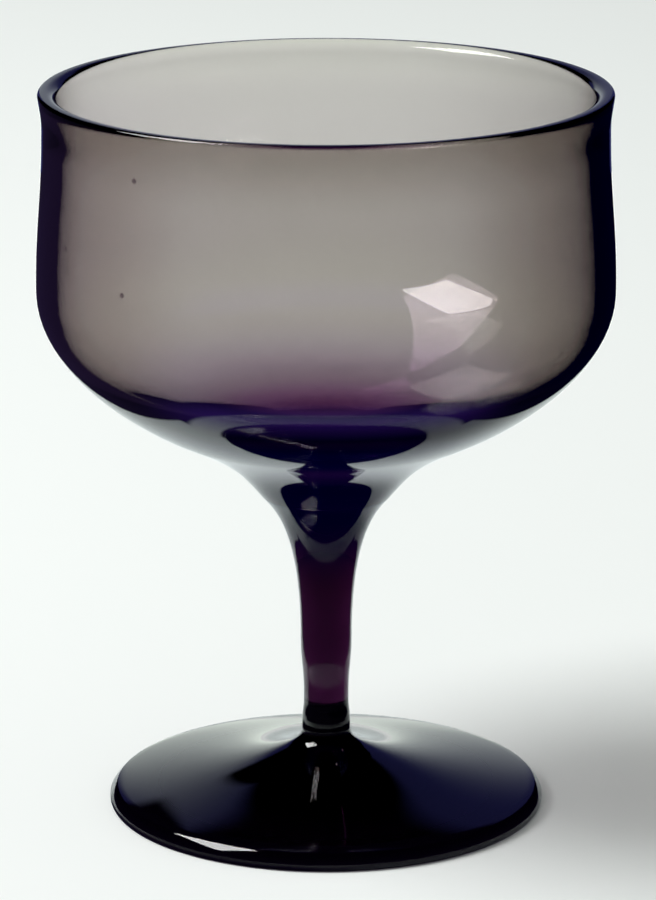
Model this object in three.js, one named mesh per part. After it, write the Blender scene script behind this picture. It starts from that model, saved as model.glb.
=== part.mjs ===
// A stemmed sherbet glass in dark amethyst glass: a blown bowl, a drawn stem and a cast foot.
// Millimetres, +Z up. The origin is the centre of the ring that the foot stands on.
// Each piece is a turned solid. The welds between them are flat discs, shared by both neighbours.

import * as THREE from 'three';

// Whole glass
const overallHeight = 118;

// Bowl: widest at the belly, drawn in a little at the waist, opening again to the lip
const bowlHeight = 66;
const lipDiameter = 90.9;
const lipWall = 3.05;
const lipOuterRounding = 0.6;
const lipInnerRounding = 1.8;
const waistDiameter = 89.9;
const waistBelowLip = 5.5;
const waistWall = 3.15;
const narrowestBelowLip = 8.5;
const mouthSlope = 96;
const bellyDiameter = 92.4;
const bellyBelowLip = 32;
const bellyWall = 3.4;
const bowlFloorThickness = 13.8;
const bowlWeldDiameter = 21.3;

// Underside of the bowl: it spreads from the weld and turns up into the belly at the shoulder
const shoulderDiameter = 51;
const shoulderAboveWeld = 10.7;
const shoulderSlope = 25;

// Stem: slimmest just above the foot, faintly swollen, then flaring into the bowl
const neckDiameter = 7.3;
const neckAboveFootWeld = 2.5;
const swellDiameter = 8.3;
const swellAboveNeck = 10;
const flareSlope = 50;

// Foot: a shallow cone with a small boss and a short post that carries the stem
const footDiameter = 70.7;
const footWidestHeight = 1.2;
const footBottomEdgeRounding = 0.7;
const footRimInset = 1.25;
const footRimHeight = 2.9;
const footRimSlope = 11;
const bossDiameter = 13;
const bossHeight = 9.2;
const bossSlope = 24;
const postDiameter = 7.8;
const postRootHeight = 12.3;
const footWeldHeight = 15.5;
const footWeldDiameter = 7.5;
const footWeldSlope = 100;

// Underside of the foot: a flat ring to stand on, hollowed slightly inside it
const restingRingWidth = 6;
const undersideHollow = 1.5;
const undersideSlope = 8;

// How far a curve keeps its direction at an end, as a share of the distance that it covers
const evenHold = 0.4;
const quickHold = 0.3;
const briefHold = 0.2;
const weldHold = 0.26;
const shoulderHold = 0.62;
const bellyHold = 0.39;
const insideBellyHold = 0.29;
const floorHold = 0.57;
const swellHold = 0.45;
const flareHold = 0.75;
const flareEndHold = 0.1;
const rimHold = 0.12;
const coneHold = 0.33;
const moundHold = 0.35;

// Fineness of the turned surfaces
const facetsAround = 64;
const gentleSteps = 4;
const curveSteps = 6;
const turnSteps = 8;
const floorSteps = 10;
const roundingSteps = 3;

// Glass colours as they look in each piece's own thickness
const bowlColour = 0x8f8489;
const stemColour = 0x0d0822;
const footColour = 0x07060f;

// Heights and radii that follow from the dimensions above
const bowlWeldHeight = overallHeight - bowlHeight;
const lipRadius = lipDiameter / 2;
const waistRadius = waistDiameter / 2;
const waistHeight = overallHeight - waistBelowLip;
const narrowestHeight = overallHeight - narrowestBelowLip;
const bellyRadius = bellyDiameter / 2;
const bellyHeight = overallHeight - bellyBelowLip;
const bowlWeldRadius = bowlWeldDiameter / 2;
const footRadius = footDiameter / 2;
const footWeldRadius = footWeldDiameter / 2;

// A point of a profile: distance from the axis, and height
function point(radius, height) {
  return new THREE.Vector2(radius, height);
}

// The unit direction that climbs at an angle in degrees above the outward horizontal
function climb(degrees) {
  const angle = THREE.MathUtils.degToRad(degrees);
  return point(Math.cos(angle), Math.sin(angle));
}

// Smooth curve from one point and direction to another. Each hold is the share of the distance
// between the ends over which the curve keeps close to that end's direction.
function sweep(start, startDirection, startHold, end, endDirection, endHold, steps = curveSteps) {
  const distance = start.distanceTo(end);
  const leave = start.clone().addScaledVector(startDirection, distance * startHold);
  const arrive = end.clone().addScaledVector(endDirection, -distance * endHold);
  return new THREE.CubicBezierCurve(start, leave, arrive, end).getPoints(steps);
}

// Quarter or part circle in the profile plane, between two angles in degrees
function rounding(centre, radius, startDegrees, endDegrees) {
  const start = THREE.MathUtils.degToRad(startDegrees);
  const end = THREE.MathUtils.degToRad(endDegrees);
  const clockwise = end < start;
  const arc = new THREE.EllipseCurve(centre.x, centre.y, radius, radius, start, end, clockwise);
  return arc.getPoints(roundingSteps);
}

// Joins stretches of a profile into one outline, leaving out points that repeat
function outline(...stretches) {
  const joined = [];
  const smallestStep = 1e-6;
  for (const next of stretches.flat()) {
    const last = joined.at(-1);
    if (!last || last.distanceTo(next) > smallestStep) {
      joined.push(next);
    }
  }
  return joined;
}

// Turns an outline, given from the bottom up and round the outside, about the vertical axis
function turned(name, profile, colour) {
  const geometry = new THREE.LatheGeometry(profile, facetsAround);
  geometry.rotateX(Math.PI / 2);
  const material = new THREE.MeshStandardMaterial({
    color: colour,
    roughness: 0.04,
    metalness: 0,
    transparent: true,
    opacity: 0.75,
  });
  const mesh = new THREE.Mesh(geometry, material);
  mesh.name = name;
  return mesh;
}

const up = climb(90);
const down = climb(-90);
const outward = climb(0);
const inward = climb(180);
const bowlWeldEdge = point(bowlWeldRadius, bowlWeldHeight);
const footWeldEdge = point(footWeldRadius, footWeldHeight);

// Outside of the bowl, from the weld up to the start of the lip's rounding
function bowlOutside() {
  const shoulder = point(shoulderDiameter / 2, bowlWeldHeight + shoulderAboveWeld);
  const belly = point(bellyRadius, bellyHeight);
  const waist = point(waistRadius, waistHeight);
  const lip = point(lipRadius, overallHeight - lipOuterRounding);
  const leave = climb(flareSlope);
  const across = climb(shoulderSlope);
  const spread = sweep(bowlWeldEdge, leave, weldHold, shoulder, across, shoulderHold);
  const turn = sweep(shoulder, across, briefHold, belly, up, bellyHold, turnSteps);
  const drawIn = sweep(belly, up, evenHold, waist, up, evenHold, gentleSteps);
  const open = sweep(waist, up, evenHold, lip, up, briefHold, gentleSteps);
  return [...spread, ...turn, ...drawIn, ...open];
}

// Fire-polished lip: a tight rounding outside, a wider one inside, and a narrow flat between
function lipTop() {
  const outerCentre = point(lipRadius - lipOuterRounding, overallHeight - lipOuterRounding);
  const innerRadius = lipRadius - lipWall + lipInnerRounding;
  const innerCentre = point(innerRadius, overallHeight - lipInnerRounding);
  const outerEdge = rounding(outerCentre, lipOuterRounding, 0, 90);
  const innerEdge = rounding(innerCentre, lipInnerRounding, 90, 180);
  return [...outerEdge, ...innerEdge];
}

// Inside of the bowl: in to the narrowest place, out again, and round into the thick floor
function bowlInside() {
  const lip = point(lipRadius - lipWall, overallHeight - lipInnerRounding);
  const narrowest = point(waistRadius - waistWall, narrowestHeight);
  const belly = point(bellyRadius - bellyWall, bellyHeight);
  const middle = point(0, bowlWeldHeight + bowlFloorThickness);
  const close = sweep(lip, climb(-mouthSlope), quickHold, narrowest, down, evenHold, gentleSteps);
  const widen = sweep(narrowest, down, evenHold, belly, down, evenHold, gentleSteps);
  const floor = sweep(belly, down, insideBellyHold, middle, inward, floorHold, floorSteps);
  return [...close, ...widen, ...floor];
}

function bowl() {
  const weldMiddle = point(0, bowlWeldHeight);
  const profile = outline([weldMiddle], bowlOutside(), lipTop(), bowlInside());
  return turned('bowl', profile, bowlColour);
}

function stem() {
  const neckHeight = footWeldHeight + neckAboveFootWeld;
  const neck = point(neckDiameter / 2, neckHeight);
  const swell = point(swellDiameter / 2, neckHeight + swellAboveNeck);
  const leave = climb(footWeldSlope);
  const lowerEnd = sweep(footWeldEdge, leave, quickHold, neck, up, evenHold, gentleSteps);
  const rise = sweep(neck, up, swellHold, swell, up, swellHold, gentleSteps);
  const flare = sweep(swell, up, flareHold, bowlWeldEdge, climb(flareSlope), flareEndHold);
  const footWeldMiddle = point(0, footWeldHeight);
  const bowlWeldMiddle = point(0, bowlWeldHeight);
  const profile = outline([footWeldMiddle], lowerEnd, rise, flare, [bowlWeldMiddle]);
  return turned('stem', profile, stemColour);
}

// Underside of the foot, from the middle of the hollow out to the rim
function footUnderside() {
  const hollowMiddle = point(0, undersideHollow);
  const ringOutside = footRadius - footBottomEdgeRounding;
  const ringInside = point(ringOutside - restingRingWidth, 0);
  const arrive = climb(-undersideSlope);
  const hollow = sweep(hollowMiddle, outward, evenHold, ringInside, arrive, quickHold, gentleSteps);
  const edgeCentre = point(ringOutside, footBottomEdgeRounding);
  const edge = rounding(edgeCentre, footBottomEdgeRounding, -90, 0);
  return [...hollow, ...edge];
}

// Top of the foot: over the rolled rim, up the shallow cone and the boss to the weld
function footTop() {
  const widest = point(footRadius, footWidestHeight);
  const rim = point(footRadius - footRimInset, footRimHeight);
  const boss = point(bossDiameter / 2, bossHeight);
  const postRoot = point(postDiameter / 2, postRootHeight);
  const overRim = climb(180 - footRimSlope);
  const upBoss = climb(180 - bossSlope);
  const roll = sweep(widest, up, briefHold, rim, overRim, rimHold, gentleSteps);
  const cone = sweep(rim, overRim, coneHold, boss, upBoss, quickHold);
  const mound = sweep(boss, upBoss, moundHold, postRoot, up, evenHold);
  const leave = climb(footWeldSlope);
  const post = sweep(postRoot, up, quickHold, footWeldEdge, leave, quickHold, gentleSteps);
  return [...roll, ...cone, ...mound, ...post];
}

function foot() {
  const weldMiddle = point(0, footWeldHeight);
  const profile = outline(footUnderside(), footTop(), [weldMiddle]);
  return turned('foot', profile, footColour);
}

const sherbetGlass = new THREE.Group();
sherbetGlass.name = 'sherbet_glass';
sherbetGlass.add(bowl(), stem(), foot());

export default sherbetGlass;
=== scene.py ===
import math

import bpy
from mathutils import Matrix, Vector


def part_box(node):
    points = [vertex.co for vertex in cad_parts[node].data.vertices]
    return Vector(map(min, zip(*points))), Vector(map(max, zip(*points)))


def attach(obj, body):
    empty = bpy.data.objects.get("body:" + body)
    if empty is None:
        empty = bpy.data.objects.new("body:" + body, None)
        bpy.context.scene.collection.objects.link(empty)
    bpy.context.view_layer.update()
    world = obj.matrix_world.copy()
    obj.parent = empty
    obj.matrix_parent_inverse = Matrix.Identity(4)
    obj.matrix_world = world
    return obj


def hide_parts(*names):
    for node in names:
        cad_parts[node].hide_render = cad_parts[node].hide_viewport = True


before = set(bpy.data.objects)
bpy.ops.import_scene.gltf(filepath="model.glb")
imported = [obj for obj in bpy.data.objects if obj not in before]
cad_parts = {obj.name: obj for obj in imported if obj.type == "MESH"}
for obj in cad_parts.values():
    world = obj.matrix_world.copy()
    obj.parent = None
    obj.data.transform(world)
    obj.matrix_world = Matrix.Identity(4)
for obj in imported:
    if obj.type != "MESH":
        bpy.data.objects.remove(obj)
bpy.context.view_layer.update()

# A stemmed sherbet glass in dark amethyst glass: a blown bowl, a drawn stem and a cast foot.
# Sizes are in metres and slopes in degrees. What the model already fixes is read from its boxes.
# Where a size is a pair, a change starts at the first number and ends at the second.
bowl_low, bowl_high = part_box("bowl")
foot_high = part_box("foot")[1]
LIP_HEIGHT = bowl_high.z
BELLY_RADIUS = bowl_high.x
BOWL_WELD_HEIGHT = bowl_low.z
FOOT_WELD_HEIGHT = foot_high.z
FOOT_RADIUS = foot_high.x

# Bowl
LIP_RADIUS = 0.04545
LIP_WALL = 0.00305
LIP_OUTER_ROUNDING = 0.0006
LIP_INNER_ROUNDING = 0.0018
WAIST_RADIUS = 0.04495
WAIST_BELOW_LIP = 0.0055
WAIST_WALL = 0.00315
NARROWEST_BELOW_LIP = 0.0085
MOUTH_SLOPE = 96
BELLY_BELOW_LIP = 0.032
BELLY_WALL = 0.0034
BOWL_FLOOR_THICKNESS = 0.0138
BOWL_WELD_RADIUS = 0.01065
SHOULDER_RADIUS = 0.0255
SHOULDER_ABOVE_WELD = 0.0107
SHOULDER_SLOPE = 25
FLARE_SLOPE = 50

# Stem
NECK_RADIUS = 0.00365
NECK_ABOVE_FOOT_WELD = 0.0025
SWELL_RADIUS = 0.00415
SWELL_ABOVE_NECK = 0.01

# Foot
WIDEST_HEIGHT = 0.0012
BOTTOM_EDGE_ROUNDING = 0.0007
RIM_INSET = 0.00125
RIM_HEIGHT = 0.0029
RIM_SLOPE = 11
BOSS_RADIUS = 0.0065
BOSS_HEIGHT = 0.0092
BOSS_SLOPE = 24
POST_RADIUS = 0.0039
POST_ROOT_HEIGHT = 0.0123
FOOT_WELD_RADIUS = 0.00375
FOOT_WELD_SLOPE = 100
RESTING_RING_WIDTH = 0.006
UNDERSIDE_HOLLOW = 0.0015
UNDERSIDE_SLOPE = 8

# How far a curve keeps its direction at an end, as a share of the distance that it covers
EVEN_HOLD = 0.4
QUICK_HOLD = 0.3
BRIEF_HOLD = 0.2
WELD_HOLD = 0.26
SHOULDER_HOLD = 0.62
BELLY_HOLD = 0.39
INSIDE_BELLY_HOLD = 0.29
FLOOR_HOLD = 0.57
SWELL_HOLD = 0.45
FLARE_HOLD = 0.75
FLARE_END_HOLD = 0.1
RIM_HOLD = 0.12
CONE_HOLD = 0.33
MOUND_HOLD = 0.35

# Slopes in a profile
UP = 90
DOWN = -90
OUTWARD = 0
INWARD = 180

# Fineness of the turned surfaces, and the hairline that keeps two weld discs apart
SIDES = 240
CURVE_STEPS = 24
LONG_CURVE_STEPS = 48
ROUNDING_STEPS = 8
SHARPEST_SMOOTH_CORNER = 35
SMALLEST_STEP = 1e-8
CLOSING_DISTANCE = 1e-7
WELD_GAP = 0.00001


# Profiles: points that hold a distance from the axis, and a height

def climb(degrees):
    """The unit direction that climbs at an angle above the outward horizontal."""
    angle = math.radians(degrees)
    return Vector((math.cos(angle), math.sin(angle)))


def sweep(start, start_slope, start_hold, end, end_slope, end_hold, steps=CURVE_STEPS):
    """A smooth curve between two points, each left or met in its own direction."""
    distance = (end - start).length
    leave = start + climb(start_slope) * distance * start_hold
    arrive = end - climb(end_slope) * distance * end_hold
    points = []
    for step in range(steps + 1):
        t = step / steps
        s = 1 - t
        points.append(s**3 * start + 3 * s * s * t * leave + 3 * s * t * t * arrive + t**3 * end)
    return points


def rounding(centre, radius, start_degrees, end_degrees):
    """Part of a circle about a centre, between two angles."""
    points = []
    for step in range(ROUNDING_STEPS + 1):
        degrees = start_degrees + (end_degrees - start_degrees) * step / ROUNDING_STEPS
        points.append(centre + climb(degrees) * radius)
    return points


def outline(*stretches):
    """Joins stretches into one outline, leaving out points that repeat."""
    joined = []
    for stretch in stretches:
        for point in stretch:
            if not joined or (point - joined[-1]).length > SMALLEST_STEP:
                joined.append(point)
    return joined


def bowl_outside():
    """From the weld up to the start of the lip's rounding."""
    weld = Vector((BOWL_WELD_RADIUS, BOWL_WELD_HEIGHT + WELD_GAP / 2))
    shoulder = Vector((SHOULDER_RADIUS, BOWL_WELD_HEIGHT + SHOULDER_ABOVE_WELD))
    belly = Vector((BELLY_RADIUS, LIP_HEIGHT - BELLY_BELOW_LIP))
    waist = Vector((WAIST_RADIUS, LIP_HEIGHT - WAIST_BELOW_LIP))
    lip = Vector((LIP_RADIUS, LIP_HEIGHT - LIP_OUTER_ROUNDING))
    return outline(
        sweep(weld, FLARE_SLOPE, WELD_HOLD, shoulder, SHOULDER_SLOPE, SHOULDER_HOLD),
        sweep(shoulder, SHOULDER_SLOPE, BRIEF_HOLD, belly, UP, BELLY_HOLD),
        sweep(belly, UP, EVEN_HOLD, waist, UP, EVEN_HOLD),
        sweep(waist, UP, EVEN_HOLD, lip, UP, BRIEF_HOLD, ROUNDING_STEPS),
    )


def lip_top():
    """Fire-polished lip: a tight rounding outside, a wider one inside, and a flat between."""
    outer_radius = LIP_RADIUS - LIP_OUTER_ROUNDING
    outer_centre = Vector((outer_radius, LIP_HEIGHT - LIP_OUTER_ROUNDING))
    inner_radius = LIP_RADIUS - LIP_WALL + LIP_INNER_ROUNDING
    inner_centre = Vector((inner_radius, LIP_HEIGHT - LIP_INNER_ROUNDING))
    return outline(
        rounding(outer_centre, LIP_OUTER_ROUNDING, OUTWARD, UP),
        rounding(inner_centre, LIP_INNER_ROUNDING, UP, INWARD),
    )


def bowl_inside():
    """In to the narrowest place, out again, and round into the thick floor."""
    lip = Vector((LIP_RADIUS - LIP_WALL, LIP_HEIGHT - LIP_INNER_ROUNDING))
    narrowest = Vector((WAIST_RADIUS - WAIST_WALL, LIP_HEIGHT - NARROWEST_BELOW_LIP))
    belly = Vector((BELLY_RADIUS - BELLY_WALL, LIP_HEIGHT - BELLY_BELOW_LIP))
    floor_middle = Vector((0, BOWL_WELD_HEIGHT + BOWL_FLOOR_THICKNESS))
    return outline(
        sweep(lip, -MOUTH_SLOPE, QUICK_HOLD, narrowest, DOWN, EVEN_HOLD),
        sweep(narrowest, DOWN, EVEN_HOLD, belly, DOWN, EVEN_HOLD),
        sweep(
            belly, DOWN, INSIDE_BELLY_HOLD, floor_middle, INWARD, FLOOR_HOLD, LONG_CURVE_STEPS
        ),
    )


def bowl_outline():
    weld_middle = Vector((0, BOWL_WELD_HEIGHT + WELD_GAP / 2))
    return outline([weld_middle], bowl_outside(), lip_top(), bowl_inside())


def stem_outline():
    lower = Vector((FOOT_WELD_RADIUS, FOOT_WELD_HEIGHT + WELD_GAP / 2))
    upper = Vector((BOWL_WELD_RADIUS, BOWL_WELD_HEIGHT - WELD_GAP / 2))
    neck = Vector((NECK_RADIUS, FOOT_WELD_HEIGHT + NECK_ABOVE_FOOT_WELD))
    swell = Vector((SWELL_RADIUS, neck.y + SWELL_ABOVE_NECK))
    side = outline(
        sweep(lower, FOOT_WELD_SLOPE, QUICK_HOLD, neck, UP, EVEN_HOLD, ROUNDING_STEPS),
        sweep(neck, UP, SWELL_HOLD, swell, UP, SWELL_HOLD),
        sweep(swell, UP, FLARE_HOLD, upper, FLARE_SLOPE, FLARE_END_HOLD, LONG_CURVE_STEPS),
    )
    return outline([Vector((0, lower.y))], side, [Vector((0, upper.y))])


def foot_underside():
    """From the middle of the hollow out over the ring to the rim."""
    ring_outside = FOOT_RADIUS - BOTTOM_EDGE_ROUNDING
    ring_inside = Vector((ring_outside - RESTING_RING_WIDTH, 0))
    hollow = Vector((0, UNDERSIDE_HOLLOW))
    edge_centre = Vector((ring_outside, BOTTOM_EDGE_ROUNDING))
    return outline(
        sweep(hollow, OUTWARD, EVEN_HOLD, ring_inside, -UNDERSIDE_SLOPE, QUICK_HOLD),
        rounding(edge_centre, BOTTOM_EDGE_ROUNDING, DOWN, OUTWARD),
    )


def foot_top():
    """Over the rolled rim, up the shallow cone and the boss to the weld."""
    widest = Vector((FOOT_RADIUS, WIDEST_HEIGHT))
    rim = Vector((FOOT_RADIUS - RIM_INSET, RIM_HEIGHT))
    boss = Vector((BOSS_RADIUS, BOSS_HEIGHT))
    post_root = Vector((POST_RADIUS, POST_ROOT_HEIGHT))
    weld = Vector((FOOT_WELD_RADIUS, FOOT_WELD_HEIGHT - WELD_GAP / 2))
    over_rim = INWARD - RIM_SLOPE
    up_boss = INWARD - BOSS_SLOPE
    return outline(
        sweep(widest, UP, BRIEF_HOLD, rim, over_rim, RIM_HOLD),
        sweep(rim, over_rim, CONE_HOLD, boss, up_boss, QUICK_HOLD),
        sweep(boss, up_boss, MOUND_HOLD, post_root, UP, EVEN_HOLD),
        sweep(post_root, UP, QUICK_HOLD, weld, FOOT_WELD_SLOPE, QUICK_HOLD, ROUNDING_STEPS),
    )


def foot_outline():
    weld_middle = Vector((0, FOOT_WELD_HEIGHT - WELD_GAP / 2))
    return outline(foot_underside(), foot_top(), [weld_middle])


# Node trees

# The mix node has sockets for each kind of value. These are the ones for colours.
MIX_FIRST_COLOUR = 6
MIX_SECOND_COLOUR = 7
MIX_RESULT_COLOUR = 2

# Counts are whole, so this lies safely between none and one
HALF_A_COUNT = 0.5


class Wire:
    """One output socket, with the operators that the trees below use."""

    def __init__(self, tree, socket):
        self.tree = tree
        self.socket = socket

    def beside(self, name):
        """Another output of the same node."""
        return Wire(self.tree, self.socket.node.outputs[name])

    def maths(self, operation, *values):
        return self.tree.add("ShaderNodeMath", {"operation": operation}, values)

    def at_least(self, other):
        return self.maths("MAXIMUM", self, other)

    def power(self, exponent):
        return self.maths("POWER", self, exponent)

    def rounded_down(self):
        return self.maths("FLOOR", self)

    def fade(self, start, end):
        """Rises smoothly from 0 at start to 1 at end."""
        smooth = {"interpolation_type": "SMOOTHSTEP"}
        return self.tree.add("ShaderNodeMapRange", smooth, [self, start, end])

    def __abs__(self):
        return self.maths("ABSOLUTE", self)

    def __neg__(self):
        return self.maths("SUBTRACT", 0, self)

    def __add__(self, other):
        return self.maths("ADD", self, other)

    def __radd__(self, other):
        return self.maths("ADD", other, self)

    def __sub__(self, other):
        return self.maths("SUBTRACT", self, other)

    def __rsub__(self, other):
        return self.maths("SUBTRACT", other, self)

    def __mul__(self, other):
        return self.maths("MULTIPLY", self, other)

    def __rmul__(self, other):
        return self.maths("MULTIPLY", other, self)

    def __truediv__(self, other):
        return self.maths("DIVIDE", self, other)

    def __gt__(self, other):
        return self.maths("GREATER_THAN", self, other)

    def __lt__(self, other):
        return self.maths("LESS_THAN", self, other)


class Tree:
    """A node tree with one method that adds any node."""

    def __init__(self, node_tree):
        self.node_tree = node_tree

    def add(self, kind, settings=None, values=(), output=0):
        """Adds a node. Its values come in socket order, or by socket name or number."""
        node = self.node_tree.nodes.new(kind)
        for name, value in (settings or {}).items():
            setattr(node, name, value)
        pairs = values.items() if isinstance(values, dict) else enumerate(values)
        for key, value in pairs:
            if isinstance(value, Wire):
                self.node_tree.links.new(value.socket, node.inputs[key])
            else:
                node.inputs[key].default_value = value
        return Wire(self, node.outputs[output]) if len(node.outputs) else None

    def mixed_colour(self, share, first, second, blend="MIX", clamped=True):
        """The first colour where share is 0 and the second where it is 1."""
        settings = {"data_type": "RGBA", "blend_type": blend, "clamp_factor": clamped}
        values = {0: share, MIX_FIRST_COLOUR: first, MIX_SECOND_COLOUR: second}
        return self.add("ShaderNodeMix", settings, values, output=MIX_RESULT_COLOUR)


def empty_material(name):
    """A new material without nodes, and the tree to build it in."""
    material = bpy.data.materials.new(name)
    material.use_nodes = True
    material.node_tree.nodes.clear()
    return material, Tree(material.node_tree)


def own_place(tree):
    """The point's place in the piece's own coordinates."""
    return tree.add("ShaderNodeTexCoord", output="Object")


def coordinates(tree):
    """The same place as its x, y and z."""
    parts = tree.add("ShaderNodeSeparateXYZ", {}, [own_place(tree)])
    return [parts.beside(axis) for axis in "XYZ"]


def distance_from_axis(x, y):
    return (x * x + y * y).power(0.5)


# The lathe

LATHE_INPUTS = {
    "Outline": "NodeSocketGeometry",
    "Sides": "NodeSocketInt",
    "Weld at Start": "NodeSocketFloat",
    "Weld at End": "NodeSocketFloat",
    "Glass": "NodeSocketMaterial",
}


def wrapped_grid(tree, drawn, points, sides):
    """A grid with a row for each point of the outline, wrapped once round the axis."""
    columns = sides + 1
    grid = tree.add("GeometryNodeMeshGrid", {}, {"Vertices X": points, "Vertices Y": columns})
    index = tree.add("GeometryNodeInputIndex")
    row = (index / columns).rounded_down()
    angle = (row * columns - index) / sides * math.tau
    place = tree.add("GeometryNodeInputPosition")
    sample = {"Geometry": drawn, "Value": place, "Index": row}
    on_outline = tree.add("GeometryNodeSampleIndex", {"data_type": "FLOAT_VECTOR"}, sample)
    turn = {"Vector": on_outline, "Angle": angle}
    turned_place = tree.add("ShaderNodeVectorRotate", {"rotation_type": "Z_AXIS"}, turn)
    moved = {"Geometry": grid, "Position": turned_place}
    return tree.add("GeometryNodeSetPosition", {}, moved)


def with_welds_marked(tree, turned, points, sides, weld_start, weld_end):
    """Marks the first and the last ring of faces, where they are a weld."""
    index = tree.add("GeometryNodeInputIndex")
    last_row = (points - 2) * sides
    in_first_row = (index < sides) * weld_start
    in_last_row = (index > last_row - HALF_A_COUNT) * weld_end
    return tree.add(
        "GeometryNodeStoreNamedAttribute",
        {"data_type": "FLOAT", "domain": "FACE"},
        {"Geometry": turned, "Name": "weld", "Value": in_first_row + in_last_row},
    )


def with_smooth_faces(tree, closed):
    """Smooth all over, apart from the sharp corners of the outline."""
    corner = tree.add("GeometryNodeInputMeshEdgeAngle")
    gentle = corner < math.radians(SHARPEST_SMOOTH_CORNER)
    faces = tree.add("GeometryNodeSetShadeSmooth", {"domain": "FACE"}, {"Geometry": closed})
    return tree.add(
        "GeometryNodeSetShadeSmooth",
        {"domain": "EDGE"},
        {"Geometry": faces, "Shade Smooth": gentle},
    )


def turning_tree():
    """Turns an outline, drawn as a line of points in the XZ plane, about the Z axis."""
    group = bpy.data.node_groups.new("turned_glass", "GeometryNodeTree")
    for name, kind in LATHE_INPUTS.items():
        group.interface.new_socket(name, in_out="INPUT", socket_type=kind)
    group.interface.new_socket("Turned", in_out="OUTPUT", socket_type="NodeSocketGeometry")
    tree = Tree(group)
    given = tree.add("NodeGroupInput")
    drawn, sides, weld_start, weld_end, glass = [given.beside(name) for name in LATHE_INPUTS]
    points = tree.add("GeometryNodeAttributeDomainSize", {}, {"Geometry": drawn})
    turned = wrapped_grid(tree, drawn, points, sides)
    marked = with_welds_marked(tree, turned, points, sides, weld_start, weld_end)
    closing = {"Geometry": marked, "Distance": CLOSING_DISTANCE}
    closed = tree.add("GeometryNodeMergeByDistance", {}, closing)
    smooth = with_smooth_faces(tree, closed)
    real = tree.add("GeometryNodeRealizeInstances", {}, {"Geometry": smooth})
    finished = tree.add("GeometryNodeSetMaterial", {}, {"Geometry": real, "Material": glass})
    tree.add("NodeGroupOutput", {}, {"Turned": finished})
    return group


def drawn_line(name, points):
    """The outline as an object: points in the XZ plane, joined by edges."""
    line = bpy.data.meshes.new(name + "_outline")
    edges = [(i, i + 1) for i in range(len(points) - 1)]
    line.from_pydata([(p.x, 0, p.y) for p in points], edges, [])
    blank = bpy.data.objects.new(name + "_blank", line)
    bpy.context.scene.collection.objects.link(blank)
    return blank


def turned_piece(name, points, glass, weld_at_start=False, weld_at_end=False):
    """One closed glass piece, turned from its outline."""
    blank = drawn_line(name, points)
    lathe = blank.modifiers.new("lathe", "NODES")
    lathe.node_group = turning_tree()
    settings = {
        "Sides": SIDES,
        "Weld at Start": float(weld_at_start),
        "Weld at End": float(weld_at_end),
        "Glass": glass,
    }
    for socket in lathe.node_group.interface.items_tree:
        if socket.name in settings:
            lathe[socket.identifier] = settings[socket.name]
    bpy.context.view_layer.update()
    graph = bpy.context.evaluated_depsgraph_get()
    mesh = bpy.data.meshes.new_from_object(blank.evaluated_get(graph))
    mesh.name = name
    bpy.data.objects.remove(blank)
    piece = bpy.data.objects.new(name, mesh)
    bpy.context.scene.collection.objects.link(piece)
    return piece


# Glass: its colour is what one centimetre of it lets through

BOWL_COLOUR = (0.35, 0.247, 0.44)
STEM_COLOUR = (0.0067, 0.00055, 0.0055)
FOOT_COLOUR = (0.0006, 0.0001, 0.0012)
REFRACTION = 1.5
DENSITY_MARGIN = 1.02
CLEAR = (1, 1, 1, 1)
BLACK = (0, 0, 0, 1)

# What the two faces of the blown wall let through, however thin it is: in general, darker on the
# +x side, and in the floor's middle. The flanks and a band below the lip of the -y half get
# painted shade
WALL_TINT = (0.94, 1.0, 0.8, 1)
SIDE_TINT = (0.75, 0.8, 0.62, 1)
# Painted shade on the flanks and below the lip of the -y half
FLANK_PAINTED_SHADE = (0.84, 0.8, 0.76, 1)
LIP_PAINTED_SHADE = (0.66, 0.62, 0.6, 1)
FLOOR_TINT = (0.36, 0.15, 0.1, 1)
SIDE_REACH = (0.012, 0.05)
HALF_REACH = (-0.02, 0.02)
FLANK_REACH = (0.018, 0.034)
LIP_REACH = (0.106, 0.118)
FLOOR_REACH = 0.033

# Seeds, the small marks left in the wall of the bowl
SEEDS = ((-0.0289, -0.0345, 0.1105), (-0.0399, -0.0219, 0.0972), (-0.031, -0.0341, 0.0927))
SEED_RADIUS = (0.00025, 0.0006)
SEED_TINT = (0.2, 0.15, 0.2, 1)

# Painted glow, an emission that stands in for daylight caught in the thickest glass, between the
# bowl's floor and the stem, and in a belt below the belly at front and back
PAINTED_GLOW = (0.0, 0.0, 0.009, 1)
PAINTED_GLOW_IN_FLOOR = (0.036, 0.011, 0.058, 1)
PAINTED_GLOW_IN_BELT = (0.005, 0.0015, 0.024, 1)
PAINTED_GLOW_BOTTOM = (0.036, 0.046)
PAINTED_GLOW_TOP = (0.067, 0.073)
PAINTED_GLOW_REACH = (0.032, 0.038)
FLOOR_PAINTED_GLOW_FROM = (0.0645, 0.066)
FLOOR_PAINTED_GLOW_REACH = (0.01, 0.02)
BELT_BOTTOM = (0.0705, 0.0735)
BELT_TOP = (0.075, 0.078)
BELT_REACH = (0.036, 0.038)
BELT_SIDES = (0.016, 0.03)

# Handwork: the faces are never quite true, and the foot's ring is worn by standing
WAVE_SCALE = 70
WAVE_DEPTH = 0.00002
RING_ROUGHNESS = 0.4
RING_HEIGHT = (0.0001, 0.0004)


def near_a_seed(tree):
    """1 at a seed and 0 away from all of them."""
    place = own_place(tree)
    apart = {"operation": "DISTANCE"}
    marked = None
    for seed in SEEDS:
        distance = tree.add("ShaderNodeVectorMath", apart, [place, seed], output="Value")
        mark = 1 - distance.fade(*SEED_RADIUS)
        marked = mark.at_least(marked) if marked else mark
    return marked


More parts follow.
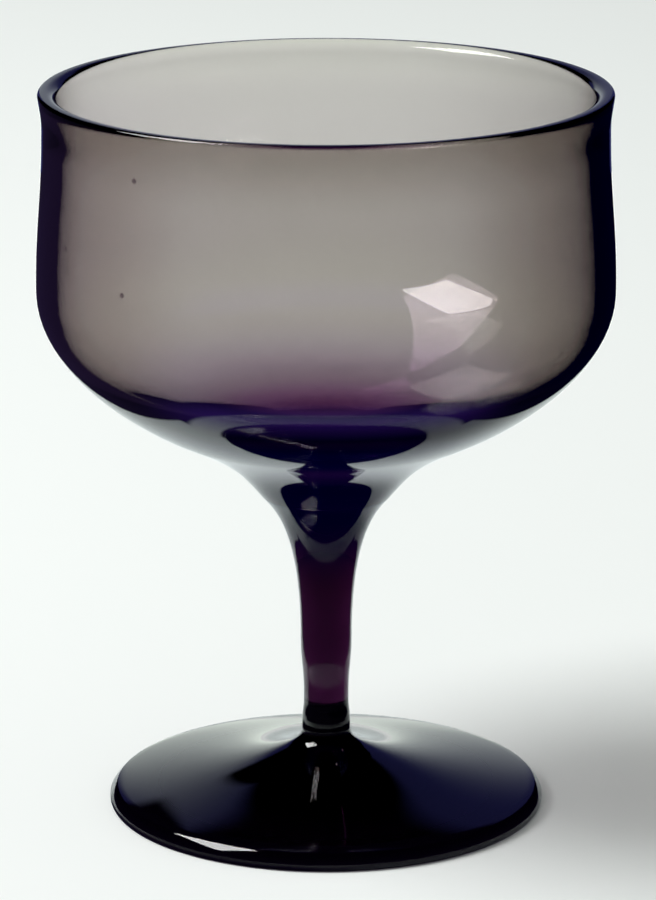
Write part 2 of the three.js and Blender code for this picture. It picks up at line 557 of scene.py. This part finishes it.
def bowl_tint_and_painted_shade(tree):
    """Uneven colour of the blown bowl, with painted shade on the flanks and below the lip of its
    -y half.
    """
    x, y, z = coordinates(tree)
    in_middle = 1 - distance_from_axis(x, y).fade(0, FLOOR_REACH)
    in_half = 1 - y.fade(*HALF_REACH)
    colour_and_shade = tree.mixed_colour(x.fade(*SIDE_REACH), WALL_TINT, SIDE_TINT)
    # Painted shade: the flanks and a band below the lip of the -y half are darkened
    on_flank = in_half * abs(x).fade(*FLANK_REACH)
    colour_and_shade = tree.mixed_colour(on_flank, colour_and_shade, FLANK_PAINTED_SHADE, "MULTIPLY")
    at_lip = in_half * z.fade(*LIP_REACH)
    colour_and_shade = tree.mixed_colour(at_lip, colour_and_shade, LIP_PAINTED_SHADE, "MULTIPLY")
    colour_and_shade = tree.mixed_colour(near_a_seed(tree), colour_and_shade, SEED_TINT, "MULTIPLY")
    return tree.mixed_colour(in_middle, colour_and_shade, FLOOR_TINT)


def painted_glow(tree):
    """Painted glow of the thickest glass, black where there is none."""
    x, y, z = coordinates(tree)
    from_axis = distance_from_axis(x, y)
    in_floor = z.fade(*FLOOR_PAINTED_GLOW_FROM) * (1 - from_axis.fade(*FLOOR_PAINTED_GLOW_REACH))
    colour = tree.mixed_colour(in_floor, PAINTED_GLOW, PAINTED_GLOW_IN_FLOOR)
    in_painted_glow = z.fade(*PAINTED_GLOW_BOTTOM) * (1 - z.fade(*PAINTED_GLOW_TOP))
    inside = 1 - from_axis.fade(*PAINTED_GLOW_REACH)
    belt_height = z.fade(*BELT_BOTTOM) * (1 - z.fade(*BELT_TOP))
    in_belt = belt_height * from_axis.fade(*BELT_REACH) * (1 - abs(x).fade(*BELT_SIDES))
    outside = tree.mixed_colour(in_belt, BLACK, PAINTED_GLOW_IN_BELT)
    return tree.mixed_colour(in_painted_glow * inside, outside, colour)


def waves(tree):
    """Low waves in the faces."""
    noise = {"Vector": own_place(tree), "Scale": WAVE_SCALE, "Detail": 1.0}
    swell = tree.add("ShaderNodeTexNoise", {}, noise)
    bump = {"Strength": 1.0, "Distance": WAVE_DEPTH, "Height": swell}
    return tree.add("ShaderNodeBump", {}, bump)


def worn_ring(tree):
    """Rough where the foot stands, polished above."""
    height = coordinates(tree)[2]
    return (1 - height.fade(*RING_HEIGHT)) * RING_ROUGHNESS


def darkening(tree, colour_kept):
    """Takes light out with depth, as density times one less the colour, for each metre."""
    centimetres = 100
    taken = [-math.log(kept) * centimetres for kept in colour_kept]
    density = max(taken) * DENSITY_MARGIN
    colour = (*(1 - each / density for each in taken), 1)
    return tree.add("ShaderNodeVolumeAbsorption", {}, {"Color": colour, "Density": density})


def amethyst_glass(name, colour_kept, tint_and_shade=None, with_painted_glow=False, worn=False):
    """Clear glass that darkens with depth. Its faces are left out where it is welded."""
    material, tree = empty_material(name)
    surface = tree.add(
        "ShaderNodeBsdfPrincipled",
        {},
        {
            # The bowl's colour carries painted shade
            "Base Color": tint_and_shade(tree) if tint_and_shade else CLEAR,
            "Roughness": worn_ring(tree) if worn else 0.0,
            "IOR": REFRACTION,
            "Transmission Weight": 1.0,
            # Painted glow for the pieces that take it
            "Emission Color": painted_glow(tree) if with_painted_glow else BLACK,
            "Emission Strength": 1.0,
            "Normal": waves(tree),
        },
    )
    weld = tree.add("ShaderNodeAttribute", {"attribute_name": "weld"}, output="Fac")
    open_face = tree.add("ShaderNodeBsdfTransparent")
    face = tree.add("ShaderNodeMixShader", {}, [weld, surface, open_face])
    depth = darkening(tree, colour_kept)
    tree.add("ShaderNodeOutputMaterial", {}, {"Surface": face, "Volume": depth})
    return material


# Stage

FLOOR_RADIUS = 6.0
FLOOR_SIDES = 128
FLOOR_COLOUR = (0.86, 0.885, 0.87, 1)
WHITE = (0.905, 0.93, 0.915, 1)
ROOM = (0.365, 0.38, 0.37, 1)

# The table as the polished glass mirrors it: a lit strip between dark surroundings
MIRRORED_FLOOR = (0.84, 0.91, 0.905, 1)
DARK = (0.02, 0.013, 0.042, 1)
DARKEST = (0.0, 0.0, 0.012, 1)
DARKEST_FROM = (0.0, 0.1)
STRIP_HALF_WIDTH = 0.0525
STRIP_SPREAD = 0.19
STRIP_FADE = 0.0015
STRIP_FRONT = 0.011
STRIP_FRONT_FADE = 0.002
FAR_FLOOR = (0.1, 0.3)
FAR_GLOW = 1.5

# The table close round the foot is lit as well, less and less towards the front. Close beside the
# rim it is painted dark as the foot's shade, except on the side away from the lamp, where it is
# painted lit as the lamplight that the foot's edge throws there
NEAR_FLOOR = (0.049, 0.053)
NEAR_FADE = (-0.04, 0.01)
NEAR_FRONT = 0.3
UNDER_RIM = (0.0362, 0.0385)
UNDER_RIM_LIT_FROM = (-0.005, 0.015)

# The backdrop as the polished glass mirrors it: brightest low down and to the left, and dark in
# its upper left corner
BACKDROP_BRIGHT = (0.87, 0.95, 0.94, 1)
BACKDROP_DIM = (0.04, 0.042, 0.18, 1)
BACKDROP_DISTANCE = 0.5
BACKDROP_ABOVE_FLOOR = 0.001
BACKDROP_HALF_WIDTH = 0.2
BACKDROP_HEIGHT = 0.4
BACKDROP_GLOW = 1.45
BACKDROP_LEAN = 2.1
BACKDROP_TOP = 0.36
BACKDROP_TOP_LEAN = 0.6
BACKDROP_SIDES = (0.1, 0.16)
BACKDROP_EDGE = 0.34
BACKDROP_BASE_GLOW = 0.3
BACKDROP_BASE = (0.0, 0.045)
BACKDROP_CORNER_SIDE = (0.11, 0.122)
BACKDROP_CORNER_UP = (0.235, 0.27)

# One large soft lamp, high on the left
KEY_PLACE = (-1.234, -0.08, 1.63)
KEY_TARGET = (0.02, 0.03, 0.076)
KEY_WIDTH = 1.14
KEY_HEIGHT = 0.84
KEY_POWER = 39.4

CAMERA_PLACE = (0.0003, -0.7049, 0.2532)
CAMERA_DOWN = 15.4
CAMERA_LENS = 181.9
CAMERA_SENSOR = 36


class LightPath:
    """What kind of ray is asking: each answer is 1 or 0."""

    def __init__(self, tree):
        ray = tree.add("ShaderNodeLightPath")
        self.diffuse = ray.beside("Is Diffuse Ray")
        self.mirrored = ray.beside("Glossy Depth") > HALF_A_COUNT
        self.through_glass = ray.beside("Transmission Depth") > HALF_A_COUNT


def lit_table(x, y):
    """1 on the lit strip, and up to 1 near the foot."""
    side = abs(x) - abs(y) * STRIP_SPREAD
    on_strip = 1 - side.fade(STRIP_HALF_WIDTH - STRIP_FADE, STRIP_HALF_WIDTH + STRIP_FADE)
    behind = y.fade(STRIP_FRONT - STRIP_FRONT_FADE, STRIP_FRONT + STRIP_FRONT_FADE)
    from_axis = distance_from_axis(x, y)
    # Painted shade close beside the rim, and painted lamplight there on the side away from the
    # lamp
    lit_beside_rim = from_axis.fade(*UNDER_RIM).at_least(x.fade(*UNDER_RIM_LIT_FROM))
    near = (1 - from_axis.fade(*NEAR_FLOOR)) * lit_beside_rim
    near_light = near * (NEAR_FRONT + (1 - NEAR_FRONT) * y.fade(*NEAR_FADE))
    return (on_strip * behind).at_least(near_light)


def table_material():
    """Pale and matt, and dark round its lit strip for the rays that the glass mirrors."""
    material, tree = empty_material("pale_floor")
    path = LightPath(tree)
    x, y = coordinates(tree)[:2]
    colour = tree.mixed_colour(path.mirrored, FLOOR_COLOUR, MIRRORED_FLOOR)
    matt = tree.add("ShaderNodeBsdfDiffuse", {}, {"Color": colour})
    bright = tree.add("ShaderNodeEmission", {}, {"Color": WHITE, "Strength": FAR_GLOW})
    dark_colour = tree.mixed_colour(x.fade(*DARKEST_FROM), DARK, DARKEST)
    dark = tree.add("ShaderNodeEmission", {}, {"Color": dark_colour, "Strength": 1.0})
    only_mirrored = path.mirrored * (1 - path.diffuse)
    lit_far = only_mirrored * y.fade(*FAR_FLOOR)
    hidden = only_mirrored * (1 - lit_table(x, y) * (1 - path.through_glass))
    table = tree.add("ShaderNodeMixShader", {}, [lit_far, matt, bright])
    mixed = tree.add("ShaderNodeMixShader", {}, [hidden, table, dark])
    tree.add("ShaderNodeOutputMaterial", {}, {"Surface": mixed})
    return material


def make_floor():
    bpy.ops.mesh.primitive_circle_add(
        vertices=FLOOR_SIDES, radius=FLOOR_RADIUS, fill_type="NGON", location=(0, 0, 0)
    )
    floor = bpy.context.object
    floor.name = "floor"
    floor.data.materials.append(table_material())


def backdrop_colour(tree):
    x, _, z = coordinates(tree)
    low = (1 - z / (BACKDROP_TOP - x * BACKDROP_TOP_LEAN)).at_least(0).power(2)
    sides = 1 - abs(x).fade(*BACKDROP_SIDES)
    base = (1 - z.fade(*BACKDROP_BASE)) * BACKDROP_BASE_GLOW
    glow = (low * (1 - x * BACKDROP_LEAN) * BACKDROP_GLOW + base) * sides
    hue = tree.mixed_colour(glow, BACKDROP_DIM, BACKDROP_BRIGHT, clamped=False)
    in_corner = (-x).fade(*BACKDROP_CORNER_SIDE) * z.fade(*BACKDROP_CORNER_UP)
    unlit = z.fade(BACKDROP_EDGE, BACKDROP_HEIGHT).at_least(in_corner)
    return tree.mixed_colour(unlit, hue, BLACK)


def backdrop_material():
    """Shines only for rays that the glass mirrors off its outside, and is clear for all others."""
    material, tree = empty_material("mirrored_backdrop")
    path = LightPath(tree)
    colour = backdrop_colour(tree)
    shining = tree.add("ShaderNodeEmission", {}, {"Color": colour, "Strength": 1.0})
    clear = tree.add("ShaderNodeBsdfTransparent")
    seen = path.mirrored * (1 - path.through_glass) * (1 - path.diffuse)
    mixed = tree.add("ShaderNodeMixShader", {}, [seen, clear, shining])
    tree.add("ShaderNodeOutputMaterial", {}, {"Surface": mixed})
    return material


def make_backdrop():
    corners = [(-1, 0), (1, 0), (1, 1), (-1, 1)]
    places = []
    for side, up in corners:
        height = BACKDROP_ABOVE_FLOOR + up * BACKDROP_HEIGHT
        places.append((side * BACKDROP_HALF_WIDTH, BACKDROP_DISTANCE, height))
    mesh = bpy.data.meshes.new("backdrop")
    mesh.from_pydata(places, [], [(0, 1, 2, 3)])
    card = bpy.data.objects.new("backdrop", mesh)
    card.data.materials.append(backdrop_material())
    bpy.context.scene.collection.objects.link(card)


def make_world():
    """White behind the glass, black for what it mirrors, and a dimmer room for the shadow."""
    world = bpy.data.worlds.new("studio")
    bpy.context.scene.world = world
    world.use_nodes = True
    world.node_tree.nodes.clear()
    tree = Tree(world.node_tree)
    path = LightPath(tree)
    white = tree.add("ShaderNodeBackground", {}, {"Color": WHITE, "Strength": 1.0})
    room = tree.add("ShaderNodeBackground", {}, {"Color": ROOM, "Strength": 1.0})
    dark = tree.add("ShaderNodeBackground", {}, {"Color": BLACK, "Strength": 0.0})
    seen = tree.add("ShaderNodeMixShader", {}, [path.mirrored, white, dark])
    mixed = tree.add("ShaderNodeMixShader", {}, [path.diffuse, seen, room])
    tree.add("ShaderNodeOutputWorld", {}, {"Surface": mixed})


def make_key_lamp():
    data = bpy.data.lights.new("key", "AREA")
    data.shape = "RECTANGLE"
    data.size = KEY_WIDTH
    data.size_y = KEY_HEIGHT
    data.energy = KEY_POWER
    lamp = bpy.data.objects.new("key", data)
    lamp.location = KEY_PLACE
    towards = Vector(KEY_TARGET) - Vector(KEY_PLACE)
    lamp.rotation_euler = towards.to_track_quat("-Z", "Y").to_euler()
    bpy.context.scene.collection.objects.link(lamp)


def make_camera():
    data = bpy.data.cameras.new("camera")
    data.sensor_width = CAMERA_SENSOR
    data.lens = CAMERA_LENS
    camera = bpy.data.objects.new("camera", data)
    camera.location = CAMERA_PLACE
    camera.rotation_euler = (math.radians(90 - CAMERA_DOWN), 0, 0)
    bpy.context.scene.collection.objects.link(camera)
    bpy.context.scene.camera = camera


# The bowl and the stem take the painted glow
bowl_glass = amethyst_glass("bowl_glass", BOWL_COLOUR, tint_and_shade=bowl_tint_and_painted_shade, with_painted_glow=True)
stem_glass = amethyst_glass("stem_glass", STEM_COLOUR, with_painted_glow=True)
foot_glass = amethyst_glass("foot_glass", FOOT_COLOUR, worn=True)

bowl = turned_piece("blown_bowl", bowl_outline(), bowl_glass, weld_at_start=True)
stem = turned_piece("drawn_stem", stem_outline(), stem_glass, weld_at_start=True, weld_at_end=True)
foot = turned_piece("cast_foot", foot_outline(), foot_glass, weld_at_end=True)
for piece, node in ((bowl, "bowl"), (stem, "stem"), (foot, "foot")):
    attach(piece, "root")
    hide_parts(node)

make_floor()
make_backdrop()
make_world()
make_key_lamp()
make_camera()

scene = bpy.context.scene
scene.view_settings.view_transform = "Standard"
scene.cycles.max_bounces = 24
scene.cycles.transmission_bounces = 20
scene.cycles.glossy_bounces = 8
scene.cycles.use_denoising = True
